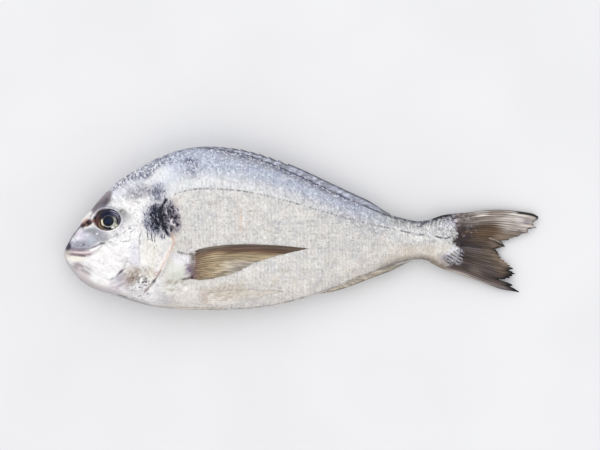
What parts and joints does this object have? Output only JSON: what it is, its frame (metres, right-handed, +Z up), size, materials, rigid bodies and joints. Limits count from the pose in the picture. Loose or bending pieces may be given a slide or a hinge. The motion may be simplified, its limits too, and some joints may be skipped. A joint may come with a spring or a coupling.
{
  "type": "whole raw fish",
  "caption": "Whole raw sea bream lying on its right side, with folded fins, a forked tail and domed eyes.",
  "frame": {"origin": "on the table, under the middle of the fish's bounding box", "axes": "+X towards the tail, +Y towards the back, +Z up, out of the left flank"},
  "size_m": [0.318, 0.1094, 0.0419],
  "materials": {
    "skin": "wet silvery scales, darker along the back",
    "eye": "wet clear dome over a dark iris and pupil"
  },
  "bodies": {
    "root": {"fish": "skin", "eye_left": "eye", "eye_right": "eye"}
  },
  "joints": []
}
